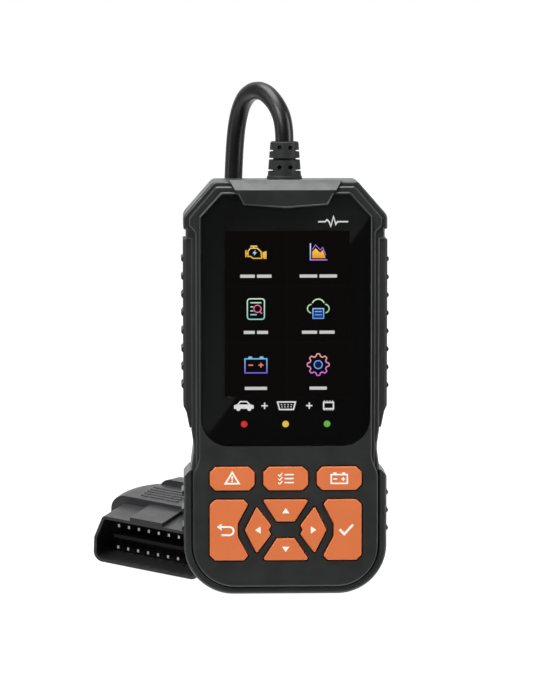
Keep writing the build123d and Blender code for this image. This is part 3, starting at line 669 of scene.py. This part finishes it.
def make_chart_icon():
    """A filled chart between two axes."""
    axis = icon_at(1, 0).box(-2.95, -2.8, -2.55, 3.1)
    lit(axis, "icon_chart_axis", (150, 170, 240), (225, 232, 255))
    base = icon_at(1, 0).box(-2.55, -2.8, 3.1, -2.4)
    lit(base, "icon_chart_base", (176, 130, 236))
    area = icon_at(1, 0)
    for quad in (
        [(-2.1, -2.0), (-0.95, -2.0), (-0.95, 1.4), (-2.1, 0.2)],
        [(-0.95, -2.0), (0.6, -2.0), (0.6, -0.1), (-0.95, 1.4)],
        [(0.6, -2.0), (1.6, -2.0), (1.6, 0.8), (0.6, -0.1)],
        [(1.6, -2.0), (2.5, -2.0), (1.6, 0.8)],
    ):
        area.fill(quad)
    lit(area, "icon_chart_area", (240, 150, 40), (250, 214, 90))
    peaks = [(-2.1, 1.0), (-1.0, 2.6), (0.7, 0.8), (1.5, 1.7), (2.6, -1.0)]
    lit(icon_at(1, 0).stroke(peaks, 0.24), "icon_chart_line", (170, 120, 235))


def make_document_icon():
    """A page of lines under a magnifier."""
    page = icon_at(0, 1)
    half_width, half_height, corner = 2.95, 3.55, 0.9
    outline = []
    for cx, cz, start in ((1, 1, 0), (-1, 1, 90), (-1, -1, 180), (1, -1, 270)):
        for step in range(5):
            a = math.radians(start + step * 22.5)
            x = cx * (half_width - corner) + corner * math.cos(a)
            z = cz * (half_height - corner) + corner * math.sin(a)
            outline.append((x, z))
    page.stroke(outline, 0.42, closed=True)
    page.box(-1.9, 2.0, 1.9, 2.4).box(-1.9, 0.55, -0.9, 0.95)
    page.box(-1.9, -0.85, -0.9, -0.45).box(-1.9, -2.15, 0.3, -1.75)
    lit(page, "icon_page", (140, 214, 205), (205, 240, 215))
    glass = icon_at(0, 1).arc(0.55, 0.1, 1.25, 0, 360, 0.36, 24).stroke([(1.35, -0.8), (2.1, -1.6)], 0.42)
    lit(glass, "icon_magnifier", (236, 120, 160))


def make_cloud_icon():
    """A cloud over a printer."""
    cloud = icon_at(1, 1)
    cloud.arc(0.0, 1.2, 2.2, 22, 158, 0.42)
    cloud.arc(-2.25, 0.1, 1.5, 95, 262, 0.42).arc(2.25, 0.1, 1.5, -82, 85, 0.42)
    lit(cloud, "icon_cloud", (150, 214, 150), (208, 240, 200))
    sheet = icon_at(1, 1).box(-1.7, -3.1, 1.7, 0.0)
    lit(sheet, "icon_printer_fill", (30, 52, 130))
    rim = icon_at(1, 1)
    rim.origin.y -= 0.04 * MM
    rim.stroke([(-1.85, 0.1), (-1.85, -3.3), (1.85, -3.3), (1.85, 0.1)], 0.36, closed=True)
    rim.box(-1.2, -1.1, 1.2, -0.8).box(-1.2, -2.2, 1.2, -1.9)
    lit(rim, "icon_printer", (96, 160, 235), (150, 205, 250))


def make_battery_icon():
    """A battery with its two signs."""
    box = icon_at(0, 2).stroke([(-3.8, -2.8), (3.8, -2.8), (3.8, 2.1), (-3.8, 2.1)], 0.42, closed=True)
    box.box(-2.6, 2.1, -1.3, 2.9).box(1.3, 2.1, 2.6, 2.9)
    lit(box, "icon_battery", (124, 96, 226), (120, 206, 240))
    signs = icon_at(0, 2).box(-2.6, -0.32, -1.0, 0.12).box(0.9, -0.32, 2.6, 0.12)
    signs.box(1.53, 0.12, 1.97, 0.75).box(1.53, -0.95, 1.97, -0.32)
    lit(signs, "icon_battery_signs", (240, 130, 116))


def make_gear_icon():
    """A gear in outline with a hub."""
    gear = icon_at(1, 2)
    outline = []
    teeth, mean_radius, tooth, squareness = 8, 3.35, 0.42, 3
    steps = teeth * 12
    for i in range(steps):
        a = 2 * math.pi * i / steps
        radius = mean_radius + tooth * math.tanh(squareness * math.cos(teeth * a))
        outline.append((radius * math.cos(a), radius * math.sin(a)))
    gear.stroke(outline, 0.4, closed=True)
    lit(gear, "icon_gear", (200, 110, 226), (246, 176, 150))
    hub = icon_at(1, 2).arc(0, 0, 1.4, 0, 360, 0.36, 24)
    lit(hub, "icon_gear_hub", (120, 170, 240))
    lit(icon_at(1, 2).disc(0, 0, 1.2), "icon_gear_fill", (18, 26, 78))


def add_car(titles, x, z):
    """A car from the side."""
    sill = [(x - 3.4, z - 1.0), (x + 3.4, z - 1.0), (x + 3.4, z + 0.2)]
    bonnet = [(x + 2.4, z + 0.5), (x - 2.6, z + 0.5), (x - 3.4, z + 0.2)]
    titles.fill(sill + bonnet)
    titles.stroke([(x - 2.1, z + 0.5), (x - 1.2, z + 1.5), (x + 1.0, z + 1.5), (x + 2.0, z + 0.5)], 0.45)
    titles.disc(x - 1.9, z - 1.0, 0.75, 16).disc(x + 1.9, z - 1.0, 0.75, 16)


def add_connector(titles, x, z):
    """The face of a diagnostic connector with two rows of contacts."""
    rim = [(x - 3.1, z + 1.3), (x + 3.1, z + 1.3), (x + 2.4, z - 1.3), (x - 2.4, z - 1.3)]
    titles.stroke(rim, 0.5, closed=True)
    for i in range(4):
        for dz, pitch in ((0.35, 1.15), (-0.4, 1.03)):
            px = x + (i - 1.5) * pitch
            titles.box(px - 0.22, z + dz - 0.16, px + 0.22, z + dz + 0.16)


def add_chip(titles, x, z):
    """A chip with four legs above and below."""
    rim = [(x - 1.7, z - 1.1), (x + 1.7, z - 1.1), (x + 1.7, z + 1.1), (x - 1.7, z + 1.1)]
    titles.stroke(rim, 0.5, closed=True)
    for i in range(4):
        px = x + (i - 1.5) * 0.95
        titles.box(px - 0.17, z + 1.1, px + 0.17, z + 1.75).box(px - 0.17, z - 1.75, px + 0.17, z - 1.1)


def add_plus(titles, x, z):
    """A plus sign, in three pieces that only touch."""
    titles.box(x - 1.1, z - 0.24, x + 1.1, z + 0.24).box(x - 0.24, z + 0.24, x + 0.24, z + 1.1)
    titles.box(x - 0.24, z - 1.1, x + 0.24, z - 0.24)


def make_titles():
    """White marks on the black print, given a painted glow: a car, a plug and a chip below the picture, a
    pulse above it.
    """
    ink = linear(236, 236, 236)
    # Painted light: the white print glows, standing in for the light that would fall on it behind the cover;
    # it is no lamp.
    white = glow("title_print_painted_glow", ink, 0.75)
    white.node_tree.nodes["Principled BSDF"].inputs["Base Color"].default_value = shade(ink, 0.3)
    titles = Print((0, MASK_Y - INK_FORWARD, 0))
    z = 66.3
    add_car(titles, -14.5, z)
    add_connector(titles, 0.3, z)
    add_chip(titles, 14.9, z)
    for x in (-7.3, 8.2):
        add_plus(titles, x, z)
    titles.make("title_row", white, CASE)
    pulse = Print((0, MASK_Y - INK_FORWARD, 0))
    z = 130.2
    lead_in = [(11.2, z), (13.6, z), (14.3, z + 0.7), (15.0, z)]
    beat = [(15.6, z - 1.6), (16.5, z + 1.8), (17.3, z - 0.9), (17.9, z), (21.6, z)]
    pulse.stroke(lead_in + beat, 0.5)
    pulse.make("pulse_mark", white, CASE)


def make_display():
    """Everything seen through the display's cover."""
    make_mask()
    make_screen()
    make_engine_icon()
    make_chart_icon()
    make_document_icon()
    make_cloud_icon()
    make_battery_icon()
    make_gear_icon()
    make_titles()


# ---------------------------------------------------------------- plug
PLUG_YAW, PLUG_ROLL, PLUG_RISE = 25.3, 6.5, 8.3
PLUG_MOUTH = Vector((-48.8, 26.6, 2.2))  # middle of the mouth's lower edge, in millimetres


def plug_axes():
    """The plug's directions: across its mouth, back along its body, and up."""
    yaw, roll, rise = (math.radians(angle) for angle in (PLUG_YAW, PLUG_ROLL, PLUG_RISE))
    across = Vector((math.cos(yaw) * math.cos(roll), -math.sin(yaw) * math.cos(roll), -math.sin(roll)))
    back = Vector((math.sin(yaw), math.cos(yaw), math.tan(rise)))
    back = (back - across * back.dot(across)).normalized()
    return across, back, across.cross(back)


def make_plug_ridges():
    """Raised grip ridges across the top of the plug's body, where the thumb presses."""
    across, back, up = plug_axes()
    first, pitch, count = 21.0, 2.6, 5
    aside, half_length, half_width = -5.4, 7.6, 0.65
    low, high, bevel = 19.6, 20.75, 0.3
    steps = 24
    work = bmesh.new()
    for n in range(count):
        depth = first + n * pitch
        rings = []
        for shrink, v in ((0.0, low), (0.0, high - bevel), (bevel, high)):
            ring = []
            for i in range(steps):
                a = 2 * math.pi * i / steps
                end = math.copysign(half_length - half_width, math.cos(a))
                u = aside + end + (half_width - shrink) * math.cos(a)
                w = depth + (half_width - shrink) * math.sin(a)
                ring.append(work.verts.new((PLUG_MOUTH + across * u + back * w + up * v) * MM))
            rings.append(ring)
        for lower, upper in zip(rings, rings[1:]):
            for i in range(steps):
                j = (i + 1) % steps
                work.faces.new((lower[i], lower[j], upper[j], upper[i]))
        work.faces.new(rings[0][::-1])
        work.faces.new(rings[-1])
    bmesh.ops.recalc_face_normals(work, faces=work.faces)
    mesh = bpy.data.meshes.new("plug_ridges")
    work.to_mesh(mesh)
    work.free()
    ridges = link(bpy.data.objects.new("plug_ridges", mesh))
    mesh.materials.append(moulded("ridge_plastic", linear(44, 44, 46), 0.4, 0.25 * MM, 0.008 * MM))
    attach(ridges, CASE)


# ---------------------------------------------------------------- brow
def make_brow_lip():
    """A fine bead along the lower edge of the brow over the display, in a lighter copy of the cap's plastic:
    a real bead carrying a painted highlight.
    """
    corner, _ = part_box("top_cap")
    radius, sunk, tip_rise = 0.32 * MM, 0.1 * MM, 0.3 * MM
    half = [(0.0, corner.z + tip_rise), (14.3 * MM, 136.35 * MM), (16.3 * MM, 139.9 * MM)]
    route = [(-x, z) for x, z in reversed(half[1:])] + half
    curve = bpy.data.curves.new("brow_lip", "CURVE")
    curve.dimensions = "3D"
    curve.bevel_depth = radius
    curve.bevel_resolution = 4
    curve.use_fill_caps = True
    spline = curve.splines.new("POLY")
    spline.points.add(len(route) - 1)
    for point, (x, z) in zip(spline.points, route):
        point.co = (x, corner.y + sunk, z, 1.0)
    lip = link(bpy.data.objects.new("brow_lip", curve))
    # Painted highlight: the bead is lighter and glossier than the cap's plastic, so it shows as a bright
    # line.
    curve.materials.append(moulded("lip_plastic_painted_highlight", linear(50, 52, 51), 0.25, 0.25 * MM, 0.004 * MM))
    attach(lip, CASE)


# ---------------------------------------------------------------- key legends
OUTER_LEGEND_X = 21.0 * MM  # marks on the two large keys, left and right


def legend(node, scale=1.0):
    """An empty print on a key, about the middle of its front."""
    centre = middle(node)
    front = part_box(node)[0].y
    return Print((centre.x, front, centre.z), scale)


def make_legends():
    """White pictograms on the keys, each riding its own key."""
    white = moulded("legend_print", linear(255, 251, 240), 0.5, mottle=0.01)
    marks = {}
    code = legend("code_button", 1.4)
    code.stroke([(-1.7, -1.2), (1.7, -1.2), (0.0, 1.6)], 0.42, closed=True)
    code.box(-0.19, -0.2, 0.19, 0.75).box(-0.19, -0.75, 0.19, -0.42)
    marks["code_button"] = code
    monitor = legend("monitor_button", 1.4)
    for z in (1.0, 0.0, -1.0):
        monitor.box(-0.3, z - 0.17, 2.0, z + 0.17)
        monitor.stroke([(-1.9, z), (-1.5, z - 0.35), (-0.85, z + 0.4)], 0.3)
    marks["monitor_button"] = monitor
    battery = legend("battery_button", 1.4)
    battery.stroke([(-2.0, -1.25), (2.0, -1.25), (2.0, 0.95), (-2.0, 0.95)], 0.38, closed=True)
    battery.box(-1.5, 0.95, -0.7, 1.5).box(0.7, 0.95, 1.5, 1.5)
    battery.box(-1.45, -0.32, -0.5, 0.0).box(0.5, -0.32, 1.45, 0.0)
    battery.box(0.82, 0.0, 1.13, 0.32).box(0.82, -0.64, 1.13, -0.32)
    marks["battery_button"] = battery
    back = legend("exit_button", 1.3)
    back.origin.x = -OUTER_LEGEND_X
    back.stroke([(-1.4, 0.9), (1.1, 0.9)], 0.5).arc(1.1, -0.2, 1.1, 90, -90, 0.5)
    back.stroke([(1.1, -1.3), (-1.0, -1.3)], 0.5)
    back.fill([(-2.3, 0.9), (-1.0, -0.05), (-1.0, 1.85)])
    marks["exit_button"] = back
    ok = legend("ok_button", 1.3)
    ok.origin.x = OUTER_LEGEND_X
    ok.stroke([(-1.7, 0.1), (-0.5, -1.2), (1.9, 1.4)], 0.6)
    marks["ok_button"] = ok
    arrows = {"up_button": 90, "down_button": 270, "left_button": 180, "right_button": 0}
    for node, turn in arrows.items():
        arrow = legend(node)
        cos, sin = math.cos(math.radians(turn)), math.sin(math.radians(turn))
        points = [(0.95, 0.0), (-0.95, 1.3), (-0.95, -1.3)]
        arrow.fill([(x * cos - z * sin, x * sin + z * cos) for x, z in points])
        marks[node] = arrow
    for node, mark in marks.items():
        piece = mark.make(node.replace("_button", "_legend"), white, node)


make_camera()
make_floor()
make_world()
make_lights()
make_cable()
paint_nodes()
make_display()
make_brow_lip()
make_plug_ridges()
make_legends()
